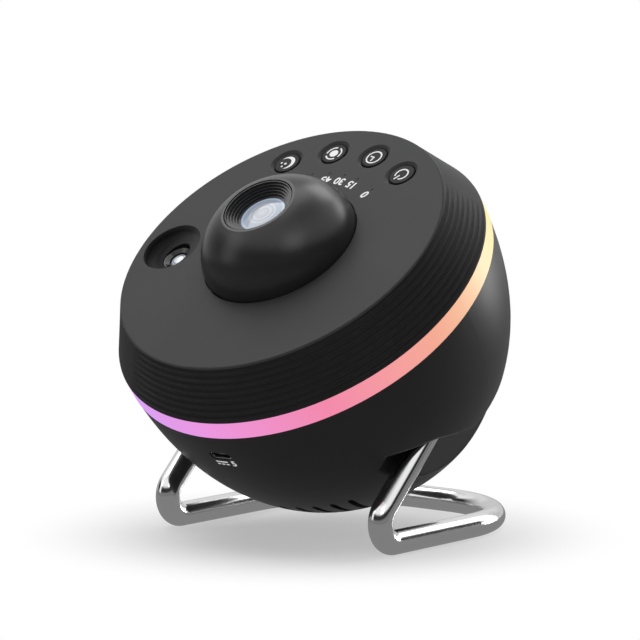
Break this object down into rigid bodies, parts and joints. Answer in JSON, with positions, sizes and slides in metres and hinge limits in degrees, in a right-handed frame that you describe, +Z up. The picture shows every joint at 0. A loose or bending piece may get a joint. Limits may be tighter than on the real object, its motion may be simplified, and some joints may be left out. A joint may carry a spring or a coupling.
{
  "type": "planetarium projector",
  "caption": "Planetarium night-sky projector: a black ball-shaped housing with a slanted button plate, a glowing ring and a turret lens, tilting on a bent chrome rod stand.",
  "frame": {"origin": "on the floor, in the middle of the stand's width, halfway between the foremost and rearmost points", "axes": "+Z up, -Y towards the side that the lens leans to, and +X along the tilt axis, to the right of someone looking along +Y"},
  "size_m": [0.14, 0.1405, 0.1418],
  "materials": {
    "shell_black": "satin black moulded plastic",
    "cover_grey": "finely matte dark grey moulded plastic",
    "turret_black": "satin black moulded plastic",
    "button_black": "satin plastic with printed symbols",
    "glow_ring": "frosted light-diffusing plastic",
    "lens_glass": "coated clear glass",
    "chrome_rod": "polished chrome plate",
    "steel": "plain steel",
    "inner_black": "plain moulded plastic",
    "white_plastic": "natural acetal",
    "board_green": "printed circuit board",
    "sink_metal": "extruded aluminium",
    "gear_brass": "plain brass",
    "paper": "pressed paper",
    "film": "printed star film on clear plastic",
    "ripple_film": "rippled clear plastic"
  },
  "bodies": {
    "stand": {"stand_rod": "chrome_rod", "pivot_knuckle_left": "chrome_rod", "pivot_knuckle_right": "chrome_rod", "lock_nut_left": "steel", "lock_nut_right": "steel"},
    "housing": {"lower_shell": "shell_black", "light_ring": "glow_ring", "ring_led_strip": "board_green", "top_cover": "cover_grey", "dome_retainer": "inner_black", "retainer_screws": "steel", "lens_guide": "inner_black", "tact_switches": "inner_black", "control_board": "board_green", "control_screws": "steel", "indicator_pipes": "white_plastic", "nebula_bezel": "turret_black", "nebula_lens": "lens_glass", "nebula_tube": "inner_black", "ripple_motor": "steel", "nebula_light": "board_green", "optics_frame": "inner_black", "frame_screws": "steel", "guide_screws": "steel", "disc_motor": "steel", "lamp_tube": "inner_black", "lamp_screws": "steel", "condenser_lens": "lens_glass", "projection_light": "board_green", "heat_sink": "sink_metal", "main_board": "board_green", "board_screws": "steel", "board_parts": "inner_black", "speaker_basket": "steel", "speaker_cone": "paper", "speaker_magnet": "steel", "usb_socket": "steel", "usb_board": "board_green", "pivot_bush_left": "white_plastic", "pivot_bush_right": "white_plastic", "friction_washer_left": "gear_brass", "friction_washer_right": "gear_brass"},
    "turret": {"focus_dome": "turret_black"},
    "lens_tube": {"lens_barrel": "turret_black", "front_lens": "lens_glass", "lens_lock_ring": "inner_black", "rear_lens": "lens_glass"},
    "film_wheel": {"film_carrier": "white_plastic", "film_disc": "film"},
    "film_drive": {"drive_pinion": "white_plastic", "motor_shaft": "steel"},
    "ripple_wheel": {"ripple_disc": "ripple_film", "ripple_shaft": "steel"},
    "moon_key": {"moon_button": "button_black"},
    "scene_key": {"scene_button": "button_black"},
    "timer_key": {"timer_button": "button_black"},
    "power_key": {"power_button": "button_black"}
  },
  "joints": [
    {"name": "tilt", "type": "hinge", "parent": "stand", "child": "housing", "pos_m": [0, 0.00692, 0.04758], "axis": [1, 0, 0], "range_deg": [-38.5, 1]},
    {"name": "focus_turn", "type": "hinge", "parent": "housing", "child": "turret", "pos_m": [0, -0.0056, 0.0826], "axis": [0, -0.6225, 0.7826], "range_deg": [-60, 60]},
    {"name": "focus_slide", "type": "slide", "parent": "housing", "child": "lens_tube", "axis": [0, -0.6225, 0.7826], "range_m": [-0.0012, 0.0012]},
    {"name": "film_spin", "type": "hinge", "parent": "housing", "child": "film_wheel", "pos_m": [0, -0.0056, 0.0826], "axis": [0, -0.6225, 0.7826], "continuous": true},
    {"name": "drive_spin", "type": "hinge", "parent": "housing", "child": "film_drive", "pos_m": [0.02884, 0.00743, 0.09297], "axis": [0, -0.6225, 0.7826], "continuous": true},
    {"name": "ripple_spin", "type": "hinge", "parent": "housing", "child": "ripple_wheel", "pos_m": [-0.04037, -0.01664, 0.07382], "axis": [0, -0.6225, 0.7826], "continuous": true},
    {"name": "moon_press", "type": "slide", "parent": "housing", "child": "moon_key", "axis": [0, 0.6225, -0.7826], "range_m": [0, 0.0006], "stiffness_N_per_m": 1200, "springref_m": -0.0005},
    {"name": "scene_press", "type": "slide", "parent": "housing", "child": "scene_key", "axis": [0, 0.6225, -0.7826], "range_m": [0, 0.0006], "stiffness_N_per_m": 1200, "springref_m": -0.0005},
    {"name": "timer_press", "type": "slide", "parent": "housing", "child": "timer_key", "axis": [0, 0.6225, -0.7826], "range_m": [0, 0.0006], "stiffness_N_per_m": 1200, "springref_m": -0.0005},
    {"name": "power_press", "type": "slide", "parent": "housing", "child": "power_key", "axis": [0, 0.6225, -0.7826], "range_m": [0, 0.0006], "stiffness_N_per_m": 1200, "springref_m": -0.0005}
  ],
  "couplings": [
    {"joint": "focus_slide", "follows": "focus_turn", "m_per_rad": 0.0011459},
    {"joint": "drive_spin", "follows": "film_spin", "ratio": -4.5}
  ]
}
